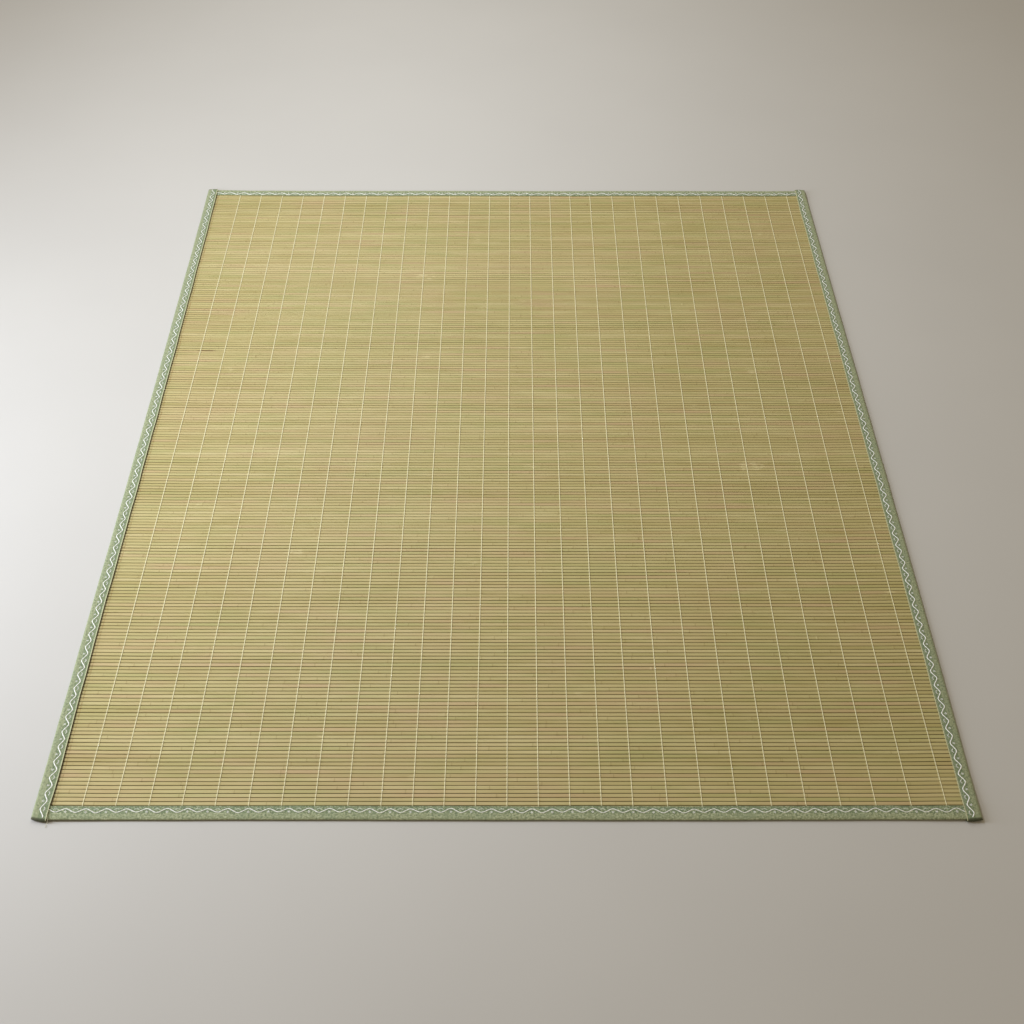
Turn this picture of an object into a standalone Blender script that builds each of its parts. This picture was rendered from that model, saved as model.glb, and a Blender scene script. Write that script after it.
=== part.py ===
"""Bamboo slat mat that lies flat, bound on its four edges with folded tape.

Metres, +Z up. X runs along the slats, Y runs along the warp threads, from the near edge to the far
edge. The origin is on the floor under the middle of the mat.
"""

import math

import bpy
import numpy as np

# Driving dimensions
MAT_WIDTH = 1.500
MAT_LENGTH = 1.950
CLEARANCE = 0.0003
CLOTH = 0.0010

# Slats: they lie side by side along Y, with a groove between neighbours
SLAT_COUNT = 239
SLAT_PITCH = 0.0081
SLAT_THICKNESS = 0.0020
GROOVE_DEPTH = 0.0012
GROOVE_HALF_WIDTH = 0.0009
PANEL_HALF_WIDTH = 0.7445
PANEL_HALF_LENGTH = SLAT_COUNT * SLAT_PITCH / 2
UNDERSIDE_STEP = 8

# The panel lies on the floor in its middle and climbs onto the bindings' lower layers at its edges
LIFT = CLOTH + CLEARANCE
FLAT_HALF_WIDTH = 0.640
LIFTED_HALF_WIDTH = 0.722
EDGE_SLATS = 3
CLIMB_SLATS = 10
FLAT_HALF_LENGTH = PANEL_HALF_LENGTH - (EDGE_SLATS + CLIMB_SLATS) * SLAT_PITCH
LIFTED_HALF_LENGTH = PANEL_HALF_LENGTH - EDGE_SLATS * SLAT_PITCH

# Warp threads: the first one's distance from the left edge, then runs of (gaps, millimetres apart)
THREAD_FIRST = 0.080
THREAD_RUNS = ((9, 52.5), (8, 50.0), (9, 55.0))
THREAD_WIDTH = 0.0012
THREAD_THICKNESS = 0.0004
THREAD_LEAN = 0.0040
THREAD_LEAN_FADE = 0.220
THREAD_END_INSET = 0.0020

# Bindings: a folded tape, whose outer fold is half an ellipse in section
FOLD_REACH = 0.0026
FOLD_STEPS = 6
LIP_ROUNDING = 0.0003
SLOT_OVERSHOOT = 0.0040
SIDE_SLOT_TOP = 0.0040
END_ROUNDING = 0.0030
END_ROUNDING_SHOULDER = 0.0011
END_DROP = 0.0012
END_RISE = 0.0005
CORNER_OVERHANG = 0.0030
CORNER_SLOT_TOP = 0.0066
CORNER_CLIMB = 0.016
CORNER_START = PANEL_HALF_LENGTH - 0.027
SIDE_SLOT_HALF_WIDTH = PANEL_HALF_WIDTH + 0.0006
SIDE_SLOT_HALF_LENGTH = MAT_LENGTH / 2 - 0.0020
END_SLOT_HALF_LENGTH = PANEL_HALF_LENGTH + 0.0005
END_TAPE_HALF_WIDTH = PANEL_HALF_WIDTH
THREADED_HALF_WIDTH = 0.705
RIPPLE = 0.00035
RIPPLE_LENGTH = 0.230
STATION_STEP = 0.052

# Each edge's visible tape width, and how far the edge stands inside the straight outline, in
# millimetres, at places from -1 at its left or near end to 1 at its right or far end
BINDINGS = {
    "binding_left": {
        "width": 22.0,
        "drift": ((-1.0, 0.0), (-0.6, 0.8), (-0.2, 2.2), (0.2, 2.5), (0.6, 1.5), (1.0, 0.2)),
    },
    "binding_right": {
        "width": 25.0,
        "drift": ((-1.0, 1.9), (-0.55, 0.3), (-0.2, 0.0), (0.2, 0.8), (0.6, 1.8), (1.0, 2.1)),
    },
    "binding_near": {
        "width": 26.0,
        "drift": ((-1.0, 0.5), (-0.5, 1.1), (0.0, 0.3), (0.4, 0.0), (0.8, 0.9), (1.0, 0.5)),
    },
    "binding_far": {
        "width": 25.0,
        "drift": ((-1.0, 0.4), (-0.6, 1.5), (-0.2, 0.5), (0.1, 1.3), (0.5, 0.0), (1.0, 0.8)),
    },
}

# Finishes: colour, roughness
FINISHES = {
    "bamboo_slats": ((0.43, 0.35, 0.16), 0.48),
    "binding_tape": ((0.25, 0.28, 0.17), 0.85),
    "warp_thread": ((0.62, 0.58, 0.38), 0.80),
}


def lift_across(x):
    """Height gained towards the slats' ends: level, then one even slope up to the ends."""
    return LIFT * np.maximum(np.abs(x) - FLAT_HALF_WIDTH, 0.0) / (LIFTED_HALF_WIDTH - FLAT_HALF_WIDTH)


def lift_along(y):
    """Height gained towards the near and far edges: level, a slope, and level again."""
    climb = (np.abs(y) - FLAT_HALF_LENGTH) / (LIFTED_HALF_LENGTH - FLAT_HALF_LENGTH)
    return LIFT * np.clip(climb, 0.0, 1.0)


def make_finish(name):
    """Principled finish of one kind of piece."""
    colour, roughness = FINISHES[name]
    finish = bpy.data.materials.new(name)
    finish.use_nodes = True
    shader = finish.node_tree.nodes["Principled BSDF"]
    shader.inputs["Base Color"].default_value = (*colour, 1.0)
    shader.inputs["Roughness"].default_value = roughness
    shader.inputs["Metallic"].default_value = 0.0
    finish.diffuse_color = (*colour, 1.0)
    return finish


def add_object(name, points, faces, finish=None):
    """Object from world points and faces."""
    mesh = bpy.data.meshes.new(name)
    mesh.from_pydata([tuple(point) for point in points], [], faces)
    mesh.validate()
    piece = bpy.data.objects.new(name, mesh)
    bpy.context.scene.collection.objects.link(piece)
    if finish is not None:
        mesh.materials.append(finish)
    return piece


def face_out(piece):
    """Turn the whole closed mesh so that its faces point out."""
    mesh = piece.data
    corners = np.array([vertex.co[:] for vertex in mesh.vertices])
    mesh.calc_loop_triangles()
    triangles = corners[np.array([triangle.vertices[:] for triangle in mesh.loop_triangles])]
    volume = np.einsum("ij,ij->i", triangles[:, 0], np.cross(triangles[:, 1], triangles[:, 2])).sum()
    if volume < 0.0:
        mesh.flip_normals()


def add_loft(name, rings, finish=None):
    """Closed solid through equal rings of points, with a flat cap on the first and last ring."""
    count, size = rings.shape[:2]
    faces = []
    for ring in range(count - 1):
        for corner in range(size):
            following = (corner + 1) % size
            faces.append((
                ring * size + corner,
                ring * size + following,
                (ring + 1) * size + following,
                (ring + 1) * size + corner,
            ))
    faces.append(tuple(reversed(range(size))))
    faces.append(tuple(range((count - 1) * size, count * size)))
    piece = add_object(name, rings.reshape(-1, 3), faces, finish)
    face_out(piece)
    return piece


def add_slat_panel(finish):
    """One solid of all the slats: flat-topped ribs above, with a V groove between them, flat below."""
    starts = np.arange(SLAT_COUNT) * SLAT_PITCH - PANEL_HALF_LENGTH
    crest = SLAT_THICKNESS
    valley = SLAT_THICKNESS - GROOVE_DEPTH
    upper_y = np.stack([starts, starts + GROOVE_HALF_WIDTH, starts + SLAT_PITCH - GROOVE_HALF_WIDTH], axis=1)
    upper_y = np.append(upper_y.ravel(), PANEL_HALF_LENGTH)
    upper_z = np.append(np.tile([valley, crest, crest], SLAT_COUNT), valley)

    climb_end = EDGE_SLATS + CLIMB_SLATS
    middle_stops = list(range(climb_end, SLAT_COUNT - climb_end, UNDERSIDE_STEP))
    stops = [0, EDGE_SLATS] + middle_stops + [SLAT_COUNT - climb_end, SLAT_COUNT - EDGE_SLATS, SLAT_COUNT]
    lower_y = np.array(stops) * SLAT_PITCH - PANEL_HALF_LENGTH

    columns = np.array([-PANEL_HALF_WIDTH, -FLAT_HALF_WIDTH, FLAT_HALF_WIDTH, PANEL_HALF_WIDTH])
    upper = [(x, y, z + lift_across(x) + lift_along(y)) for x in columns for y, z in zip(upper_y, upper_z)]
    lower = [(x, y, lift_across(x) + lift_along(y)) for x in columns for y in lower_y]
    rows = len(upper_y)
    low_rows = len(lower_y)
    first_lower = len(upper)

    def up(column, row):
        return column * rows + row

    def down(column, row):
        return first_lower + column * low_rows + row

    faces = []
    last = len(columns) - 1
    for column in range(last):
        for row in range(rows - 1):
            faces.append((up(column, row), up(column + 1, row), up(column + 1, row + 1), up(column, row + 1)))
        for row in range(low_rows - 1):
            faces.append((
                down(column, row),
                down(column, row + 1),
                down(column + 1, row + 1),
                down(column + 1, row),
            ))
        faces.append((down(column, 0), down(column + 1, 0), up(column + 1, 0), up(column, 0)))
        faces.append((
            up(column, rows - 1),
            up(column + 1, rows - 1),
            down(column + 1, low_rows - 1),
            down(column, low_rows - 1),
        ))
    for row in range(low_rows - 1):
        ridge = range(3 * stops[row], 3 * stops[row + 1] + 1)
        left_end = [down(0, row + 1), down(0, row)] + [up(0, step) for step in ridge]
        right_end = [down(last, row), down(last, row + 1)] + [up(last, step) for step in reversed(ridge)]
        faces.append(tuple(left_end))
        faces.append(tuple(right_end))
    piece = add_object("slat_panel", upper + lower, faces, finish)
    face_out(piece)


def thread_places():
    """Distance of each warp thread from the mat's middle, from left to right."""
    places = [THREAD_FIRST]
    for gaps, spacing in THREAD_RUNS:
        for _ in range(gaps):
            places.append(places[-1] + spacing / 1000)
    return [place - MAT_WIDTH / 2 for place in places]


def add_thread(index, place, finish):
    """A flat bar just above the slats' crests, leaning a little to the right towards the far edge."""
    half_length = PANEL_HALF_LENGTH - THREAD_END_INSET
    bends = [half_length, LIFTED_HALF_LENGTH, FLAT_HALF_LENGTH]
    stations = np.array([-bend for bend in bends] + bends[::-1])
    lean = THREAD_LEAN * min(1.0, (PANEL_HALF_WIDTH - place) / THREAD_LEAN_FADE)
    middle = place + lean * stations / half_length
    base = SLAT_THICKNESS + CLEARANCE + lift_across(place) + lift_along(stations)
    corners = ((-0.5, 0.0), (0.5, 0.0), (0.5, 1.0), (-0.5, 1.0))
    rings = np.array([
        [(x + across * THREAD_WIDTH, y, z + up * THREAD_THICKNESS) for across, up in corners]
        for x, y, z in zip(middle, stations, base)
    ])
    add_loft(f"thread_{index:02d}", rings, finish)


def smooth_table(table, places):
    """Smooth value between the rows of a (place, value) table, by cosine steps."""
    known = np.array([row[0] for row in table])
    values = np.array([row[1] for row in table])
    step = np.clip(np.searchsorted(known, places, side="right") - 1, 0, len(known) - 2)
    share = np.clip((places - known[step]) / (known[step + 1] - known[step]), 0.0, 1.0)
    ease = 0.5 - 0.5 * np.cos(math.pi * share)
    return values[step] * (1.0 - ease) + values[step + 1] * ease


def stations_between(stops):
    """Places from one stop to the next, no further apart than the station step."""
    places = [stops[0]]
    for start, end in zip(stops[:-1], stops[1:]):
        steps = max(1, math.ceil((end - start) / STATION_STEP))
        places += [start + (end - start) * step / steps for step in range(1, steps + 1)]
    return np.array(places)


def fold_rings(stations, outer, lip, low, high, place_point):
    """Sections of a folded tape: a half ellipse at the outer edge, level above and below to its lip."""
    turn = np.linspace(-math.pi / 2, math.pi / 2, FOLD_STEPS + 1)
    rings = []
    for along, edge, inner, bottom, top in zip(stations, outer, lip, low, high):
        middle = (bottom + top) / 2
        half = (top - bottom) / 2
        across = [edge - FOLD_REACH * (1.0 - math.cos(angle)) for angle in turn]
        height = [middle + half * math.sin(angle) for angle in turn]
        across += [inner + LIP_ROUNDING, inner, inner, inner + LIP_ROUNDING]
        height += [top, top - LIP_ROUNDING, bottom + LIP_ROUNDING, bottom]
        rings.append([place_point(along, reach, level) for reach, level in zip(across, height)])
    return np.array(rings)


def slot_rings(stations, outer, lip, low, high, place_point):
    """Sections of the space between a tape's two layers, open at the lip."""
    rings = []
    for along, edge, inner, bottom, top in zip(stations, outer, lip, low, high):
        mouth = inner - SLOT_OVERSHOOT
        corners = ((edge, bottom), (edge, top), (mouth, top), (mouth, bottom))
        rings.append([place_point(along, reach, level) for reach, level in corners])
    return np.array(rings)


def add_binding(name, fold, slot, finish):
    """Folded tape: the outer form with the space between its layers cut out."""
    tape = add_loft(name, fold, finish)
    cutter = add_loft(name + "_slot", slot)
    cutter.hide_render = True
    cutter.display_type = "WIRE"
    cut = tape.modifiers.new("space between the layers", "BOOLEAN")
    cut.operation = "DIFFERENCE"
    cut.solver = "EXACT"
    cut.object = cutter


def edge_lines(name, stations, half_span, straight):
    """Outer edge and inner lip of a binding, as distances from the mat's middle."""
    row = BINDINGS[name]
    drift = smooth_table(row["drift"], stations / half_span) / 1000
    ripple = RIPPLE * np.sin(2 * math.pi * stations / RIPPLE_LENGTH + row["width"])
    outer = straight - drift
    lip = outer - row["width"] / 1000 + ripple
    return outer, lip


def side_slot_top(y):
    """Top of the space in a side tape: over the panel, then over the near or far tape at a corner."""
    over_panel = SIDE_SLOT_TOP + lift_along(y)
    climb = np.clip((np.abs(y) - CORNER_START + CORNER_CLIMB) / CORNER_CLIMB, 0.0, 1.0)
    return over_panel + (CORNER_SLOT_TOP - over_panel) * climb


def add_side_binding(name, side, finish):
    """Tape along the slats' ends, full length, over the near and far tapes, its ends rounded down."""
    half_length = MAT_LENGTH / 2
    slot_stops = [SIDE_SLOT_HALF_LENGTH, CORNER_START, CORNER_START - CORNER_CLIMB, FLAT_HALF_LENGTH]
    end_stops = [half_length, half_length - END_ROUNDING_SHOULDER, half_length - END_ROUNDING]
    stops = end_stops + slot_stops[1:]
    stations = stations_between([-stop for stop in stops] + stops[::-1])
    outer, lip = edge_lines(name, stations, half_length, MAT_WIDTH / 2)
    near_end = 1.0 - np.clip((half_length - np.abs(stations)) / END_ROUNDING, 0.0, 1.0)
    rounding = 1.0 - np.sqrt(1.0 - near_end ** 2)
    low = END_RISE * rounding
    high = side_slot_top(stations) + CLOTH - END_DROP * rounding

    def place_point(along, reach, level):
        return (side * reach, along, level)

    fold = fold_rings(stations, outer, lip, low, high, place_point)
    slot_stations = stations_between([-stop for stop in slot_stops] + slot_stops[::-1])
    slot_edge = np.full(len(slot_stations), SIDE_SLOT_HALF_WIDTH)
    slot_lip = edge_lines(name, slot_stations, half_length, MAT_WIDTH / 2)[1]
    slot_low = np.full(len(slot_stations), CLOTH)
    slot = slot_rings(slot_stations, slot_edge, slot_lip, slot_low, side_slot_top(slot_stations), place_point)
    add_binding(name, fold, slot, finish)


def end_slot_top(x):
    """Top of the space in a near or far tape: clear of the threads, lower where no thread runs."""
    over_thread = SLAT_THICKNESS + THREAD_THICKNESS + 2 * CLEARANCE + LIFT
    over_slats = SLAT_THICKNESS + CLEARANCE + LIFT
    share = np.clip((LIFTED_HALF_WIDTH - np.abs(x)) / (LIFTED_HALF_WIDTH - THREADED_HALF_WIDTH), 0.0, 1.0)
    return over_slats + (over_thread - over_slats) * share + lift_across(x)


def add_end_binding(name, side, finish):
    """Tape along the near or far edge, its ends held inside the side tapes."""
    stops = [END_TAPE_HALF_WIDTH, LIFTED_HALF_WIDTH, THREADED_HALF_WIDTH, FLAT_HALF_WIDTH]
    stations = stations_between([-stop for stop in stops] + stops[::-1])
    outer, lip = edge_lines(name, stations, MAT_WIDTH / 2, MAT_LENGTH / 2 - CORNER_OVERHANG)

    def place_point(along, reach, level):
        return (along, side * reach, level)

    low = lift_across(stations)
    high = end_slot_top(stations) + CLOTH
    fold = fold_rings(stations, outer, lip, low, high, place_point)
    past_ends = stations.copy()
    past_ends[0] -= SLOT_OVERSHOOT
    past_ends[-1] += SLOT_OVERSHOOT
    slot_edge = np.full(len(stations), END_SLOT_HALF_LENGTH)
    slot = slot_rings(past_ends, slot_edge, lip, low + CLOTH, high - CLOTH, place_point)
    add_binding(name, fold, slot, finish)


def main():
    """Clear the scene and build the panel, the threads and the four bindings."""
    for old in list(bpy.data.objects):
        bpy.data.objects.remove(old, do_unlink=True)
    bamboo = make_finish("bamboo_slats")
    tape = make_finish("binding_tape")
    cotton = make_finish("warp_thread")
    add_slat_panel(bamboo)
    for index, place in enumerate(thread_places(), start=1):
        add_thread(index, place, cotton)
    add_side_binding("binding_left", -1, tape)
    add_side_binding("binding_right", 1, tape)
    add_end_binding("binding_near", -1, tape)
    add_end_binding("binding_far", 1, tape)


main()
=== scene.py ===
"""Looks of a flat bamboo slat mat: single slats, woven warp threads and folded tape with a woven vine.

Metres, +Z up, X along the slats, Y from the near edge to the far edge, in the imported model's frame.
"""

import math

import bpy
import numpy as np
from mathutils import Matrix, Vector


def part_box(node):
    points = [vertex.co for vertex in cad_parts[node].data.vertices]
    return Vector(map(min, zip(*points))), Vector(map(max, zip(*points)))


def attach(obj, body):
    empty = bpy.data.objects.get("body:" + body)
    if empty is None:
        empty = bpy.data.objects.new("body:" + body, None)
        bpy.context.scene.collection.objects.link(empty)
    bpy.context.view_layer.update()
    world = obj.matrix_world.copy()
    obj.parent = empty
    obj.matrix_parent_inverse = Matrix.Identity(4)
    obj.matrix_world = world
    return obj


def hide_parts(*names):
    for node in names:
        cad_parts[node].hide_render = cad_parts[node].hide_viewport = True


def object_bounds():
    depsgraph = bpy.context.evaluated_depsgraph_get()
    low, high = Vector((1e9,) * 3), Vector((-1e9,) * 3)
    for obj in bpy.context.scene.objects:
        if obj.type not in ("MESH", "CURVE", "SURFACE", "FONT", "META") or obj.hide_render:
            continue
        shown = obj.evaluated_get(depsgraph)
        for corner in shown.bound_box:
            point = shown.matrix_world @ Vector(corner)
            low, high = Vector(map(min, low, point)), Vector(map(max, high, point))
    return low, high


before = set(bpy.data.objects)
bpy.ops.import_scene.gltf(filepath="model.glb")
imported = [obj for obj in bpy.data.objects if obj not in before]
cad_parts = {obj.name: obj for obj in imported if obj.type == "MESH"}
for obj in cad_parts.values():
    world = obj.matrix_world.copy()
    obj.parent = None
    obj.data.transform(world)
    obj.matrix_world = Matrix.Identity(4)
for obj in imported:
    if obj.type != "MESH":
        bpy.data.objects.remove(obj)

CAD_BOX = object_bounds()

bl_info = {
    "name": "Bamboo Slat Mat",
    "version": (1, 0, 0),
    "blender": (4, 5, 0),
    "location": "3D View > Sidebar > Mat",
    "description": "Builds a flat bamboo slat mat with woven threads and vine-patterned tape edges",
    "category": "Object",
}

MM = 0.001

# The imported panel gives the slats' field; the slat spacing is the mat's own
PANEL_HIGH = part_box("slat_panel")[1]
PANEL_HALF_WIDTH = PANEL_HIGH.x
PANEL_HALF_LENGTH = PANEL_HIGH.y
SLAT_COUNT = 239
SLAT_PITCH = 2 * PANEL_HALF_LENGTH / SLAT_COUNT
SLAT_SECTIONS = 4

# Bindings: name, axis that the tape runs along (0 is X, 1 is Y), side of the mat
TAPES = {
    "binding_left": (1, -1),
    "binding_right": (1, 1),
    "binding_near": (0, -1),
    "binding_far": (0, 1),
}

# How far beyond its usual inset, in mm, each tape's vine lies, and how much wider than usual it is
VINE_DRIFT = {"binding_left": 0.5, "binding_right": 0.4, "binding_near": 0.0, "binding_far": -1.4}
VINE_SHARE = {"binding_left": 1.1, "binding_right": 1.15, "binding_near": 1.0, "binding_far": 1.45}

# How far inwards of the solid's lip each tape's lip lies all along, and how much more at its near end
LIP_EASE = {
    "binding_left": (1.5 * MM, 2.0 * MM),
    "binding_right": (0.3 * MM, 0.0),
    "binding_near": (0.0, 0.0),
    "binding_far": (0.0, 0.0),
}

# Where the mat climbs onto the lower layers of its bindings, from the middle
FLAT_HALF_WIDTH = 0.630
LIFTED_HALF_WIDTH = 0.724
FLAT_HALF_LENGTH = 0.860
LIFTED_HALF_LENGTH = 0.944
CORNER_START = 0.944
CORNER_CLIMB = 0.020

MIX_A, MIX_B, MIX_RESULT = 6, 7, 2


# Settings that a user would change


class MatSlatSettings(bpy.types.PropertyGroup):
    """Sizes and colours of the bamboo slats."""

    slat_width: bpy.props.FloatProperty(
        name="Slat width", description="Width of one slat", default=7.22 * MM, unit="LENGTH")
    slat_thickness: bpy.props.FloatProperty(
        name="Slat thickness", description="Thickness of one slat", default=1.85 * MM, unit="LENGTH")
    underside: bpy.props.FloatProperty(
        name="Underside", description="Height of the slats' flat backs above the floor",
        default=0.56 * MM, unit="LENGTH")
    edge_lift: bpy.props.FloatProperty(
        name="Edge lift", description="How far the slats rise over a binding's lower layer",
        default=1.1 * MM, unit="LENGTH")
    seed: bpy.props.IntProperty(name="Seed", description="Seed of the slats' unevenness", default=7)
    straw: bpy.props.StringProperty(
        name="Straw", description="Main slat colour, sRGB hex", default="BBAD77")
    pale: bpy.props.StringProperty(
        name="Pale", description="Palest slat colour, sRGB hex", default="CFC290")
    olive: bpy.props.StringProperty(
        name="Olive", description="Darker slat colour, sRGB hex", default="A6965C")
    green: bpy.props.StringProperty(
        name="Green", description="Greenish slat colour, sRGB hex", default="ABA56A")
    tan: bpy.props.StringProperty(
        name="Tan", description="Pinkish tan slat colour, sRGB hex", default="BDA379")
    # Colour of the sawn edges: their own browner tone, also standing in as painted shade in the gaps between
    # slats
    cut_edge_and_gap_shade: bpy.props.StringProperty(
        name="Cut edge", description="Colour of the slats' sawn edges, sRGB hex", default="6A5A2E")


class MatThreadSettings(bpy.types.PropertyGroup):
    """Sizes and colours of the warp threads and of the sewing."""

    yarn_width: bpy.props.FloatProperty(
        name="Yarn width", description="Width of a yarn where it lies on a slat",
        default=1.9 * MM, unit="LENGTH")
    yarn_thickness: bpy.props.FloatProperty(
        name="Yarn thickness", description="Thickness of a yarn where it lies on a slat",
        default=0.54 * MM, unit="LENGTH")
    stitch_spacing: bpy.props.FloatProperty(
        name="Stitch spacing", description="Distance between stitches", default=3.2 * MM, unit="LENGTH")
    yarn: bpy.props.StringProperty(
        name="Yarn", description="Warp yarn colour, sRGB hex", default="E6DDB0")
    side_stitch: bpy.props.StringProperty(
        name="Side stitches", description="Stitch colour on the side tapes, sRGB hex", default="D9D6B4")
    end_stitch: bpy.props.StringProperty(
        name="End stitches", description="Stitch colour on the near and far tapes, sRGB hex",
        default="9DA887")


class MatTapeSettings(bpy.types.PropertyGroup):
    """Sizes and colours of the folded tapes and the vine woven into them."""

    cloth: bpy.props.FloatProperty(
        name="Cloth", description="Thickness of the folded tape's cloth", default=0.55 * MM, unit="LENGTH")
    fold_reach: bpy.props.FloatProperty(
        name="Fold reach", description="Depth of the outer fold below its tip",
        default=2.4 * MM, unit="LENGTH")
    shoulder_reach: bpy.props.FloatProperty(
        name="Shoulder reach", description="Depth of the outer fold above its tip",
        default=4.9 * MM, unit="LENGTH")
    crown: bpy.props.FloatProperty(
        name="Crown", description="How far the tape's middle stands above its lip",
        default=0.35 * MM, unit="LENGTH")
    vine_period: bpy.props.FloatProperty(
        name="Vine period", description="Length of one wave of the vine", default=32 * MM, unit="LENGTH")
    vine_inset: bpy.props.FloatProperty(
        name="Vine inset", description="Distance of the vine's middle from the tape's lip",
        default=9.2 * MM, unit="LENGTH")
    vine_swing: bpy.props.FloatProperty(
        name="Vine swing", description="How far the vine swings to each side",
        default=3.5 * MM, unit="LENGTH")
    vine_width: bpy.props.FloatProperty(
        name="Vine width", description="Width of the vine's line", default=1.7 * MM, unit="LENGTH")
    sage: bpy.props.StringProperty(
        name="Sage", description="Plain ground of the tape, sRGB hex", default="979D76")
    ground: bpy.props.StringProperty(
        name="Ground", description="Ground behind the vine, sRGB hex", default="78855F")
    fleck: bpy.props.StringProperty(
        name="Fleck", description="Pale flecks in the weave, sRGB hex", default="C8CCA8")
    vine: bpy.props.StringProperty(
        name="Vine", description="Vine and blossom colour, sRGB hex", default="FFFEF6")
    spray: bpy.props.StringProperty(
        name="Spray", description="Colour of the dim leaf sprays, sRGB hex", default="E4EAD6")


class MatStageSettings(bpy.types.PropertyGroup):
    """Floor, light and camera."""

    floor: bpy.props.StringProperty(
        name="Floor", description="Floor colour, sRGB hex", default="C8C5C0")
    window_power: bpy.props.FloatProperty(
        name="Window", description="Power of the low soft light on the left, in watts", default=72.0)
    fill_power: bpy.props.FloatProperty(
        name="Fill", description="Power of the long soft light above, in watts", default=35.0)
    room: bpy.props.FloatProperty(
        name="Room", description="Strength of the warm light from all sides", default=0.35)


# Small helpers


def linear(hex_colour):
    """Linear RGBA of an sRGB hex colour, by the standard's two-part curve."""
    parts = np.array([int(hex_colour[i:i + 2], 16) / 255 for i in (0, 2, 4)])
    parts = np.where(parts <= 0.04045, parts / 12.92, ((parts + 0.055) / 1.055) ** 2.4)
    return (*parts.tolist(), 1.0)


def smooth(value):
    """Zero below 0, one above 1, and 3t² - 2t³ between."""
    t = np.clip(value, 0.0, 1.0)
    return t * t * (3.0 - 2.0 * t)


def add_node(tree, kind, inputs=None, **settings):
    """Add a node; settings are its attributes, inputs are values or the sockets that feed it."""
    node = tree.nodes.new(kind)
    for name, value in settings.items():
        setattr(node, name, value)
    for key, value in (inputs or {}).items():
        if isinstance(value, bpy.types.NodeSocket):
            tree.links.new(value, node.inputs[key])
        else:
            node.inputs[key].default_value = value
    return node


def colour_tools(tree):
    """Four helpers for one material: blend, smooth step, product, and distance from a value."""

    def blend(factor, first, second):
        """One colour over another by a factor."""
        node = add_node(tree, "ShaderNodeMix", {0: factor, MIX_A: first, MIX_B: second}, data_type="RGBA")
        return node.outputs[MIX_RESULT]

    def between(value, low, high, top=1.0):
        """Zero below low, top above high, smooth between."""
        node = add_node(tree, "ShaderNodeMapRange", {"Value": value, 1: low, 2: high, 3: 0.0, 4: top},
                        interpolation_type="SMOOTHSTEP")
        return node.outputs[0]

    def product(first, second):
        """One number times another."""
        return add_node(tree, "ShaderNodeMath", {0: first, 1: second}, operation="MULTIPLY").outputs[0]

    def distance(value, centre):
        """How far a number is from a centre."""
        gap = add_node(tree, "ShaderNodeMath", {0: value, 1: centre}, operation="SUBTRACT").outputs[0]
        return add_node(tree, "ShaderNodeMath", {0: gap}, operation="ABSOLUTE").outputs[0]

    return blend, between, product, distance


def new_material(name, roughness, sheen=0.0):
    """A Principled material with its constants set on the shader; returns it, its tree and shader."""
    material = bpy.data.materials.new(name)
    material.use_nodes = True
    tree = material.node_tree
    shader = tree.nodes["Principled BSDF"]
    shader.inputs["Roughness"].default_value = roughness
    shader.inputs["Sheen Weight"].default_value = sheen
    return material, tree, shader


def build_mesh(name, points, quads, caps=None, material=None):
    """Object from an array of points, an array of four-cornered faces and one of equal-sized caps."""
    corners = [quads.ravel()]
    totals = [np.full(len(quads), 4)]
    if caps is not None:
        corners.append(caps.ravel())
        totals.append(np.full(len(caps), caps.shape[1]))
    corners = np.concatenate(corners).astype(np.int32)
    totals = np.concatenate(totals).astype(np.int32)
    starts = np.concatenate([[0], np.cumsum(totals)[:-1]]).astype(np.int32)
    mesh = bpy.data.meshes.new(name)
    mesh.vertices.add(len(points))
    mesh.vertices.foreach_set("co", points.astype(np.float32).ravel())
    mesh.loops.add(len(corners))
    mesh.loops.foreach_set("vertex_index", corners)
    mesh.polygons.add(len(totals))
    mesh.polygons.foreach_set("loop_start", starts)
    mesh.polygons.foreach_set("loop_total", totals)
    mesh.update(calc_edges=True)
    mesh.validate()
    mesh.shade_smooth()
    piece = bpy.data.objects.new(name, mesh)
    bpy.context.scene.collection.objects.link(piece)
    if material is not None:
        mesh.materials.append(material)
    return piece


def strand_faces(strands, stations, ring):
    """Faces of many closed strands at once: each a ring of points carried along its stations.

    Point (i, j, k) of strand i, station j and ring place k is number (i * stations + j) * ring + k.
    A ring that turns left, seen against the strand's direction, gives faces that point outwards.
    """
    numbers = np.arange(strands * stations * ring).reshape(strands, stations, ring)
    here = numbers[:, :-1]
    there = numbers[:, 1:]
    quads = np.stack([here, np.roll(here, -1, axis=2), np.roll(there, -1, axis=2), there], axis=-1)
    caps = np.concatenate([numbers[:, 0, ::-1], numbers[:, -1]])
    return quads.reshape(-1, 4), caps


def add_attribute(piece, name, values):
    """Give each point of a piece a number or a vector that its material reads."""
    kind = "FLOAT" if values.ndim == 1 else "FLOAT_VECTOR"
    attribute = piece.data.attributes.new(name, kind, "POINT")
    attribute.data.foreach_set("value" if kind == "FLOAT" else "vector", values.astype(np.float32).ravel())


def settle(piece, nodes):
    """Let a piece ride on the mat and stand for its CAD nodes, which it hides."""
    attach(piece, "root")
    if nodes:
        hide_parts(*nodes)


def lift_across(x, height):
    """Rise towards the slats' ends, where they lie on the side tapes' lower layers."""
    return height * smooth((np.abs(x) - FLAT_HALF_WIDTH) / (LIFTED_HALF_WIDTH - FLAT_HALF_WIDTH))


def lift_along(y, height):
    """Rise towards the near and far edges, where the slats lie on those tapes' lower layers."""
    return height * smooth((np.abs(y) - FLAT_HALF_LENGTH) / (LIFTED_HALF_LENGTH - FLAT_HALF_LENGTH))


# Bamboo slats


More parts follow.
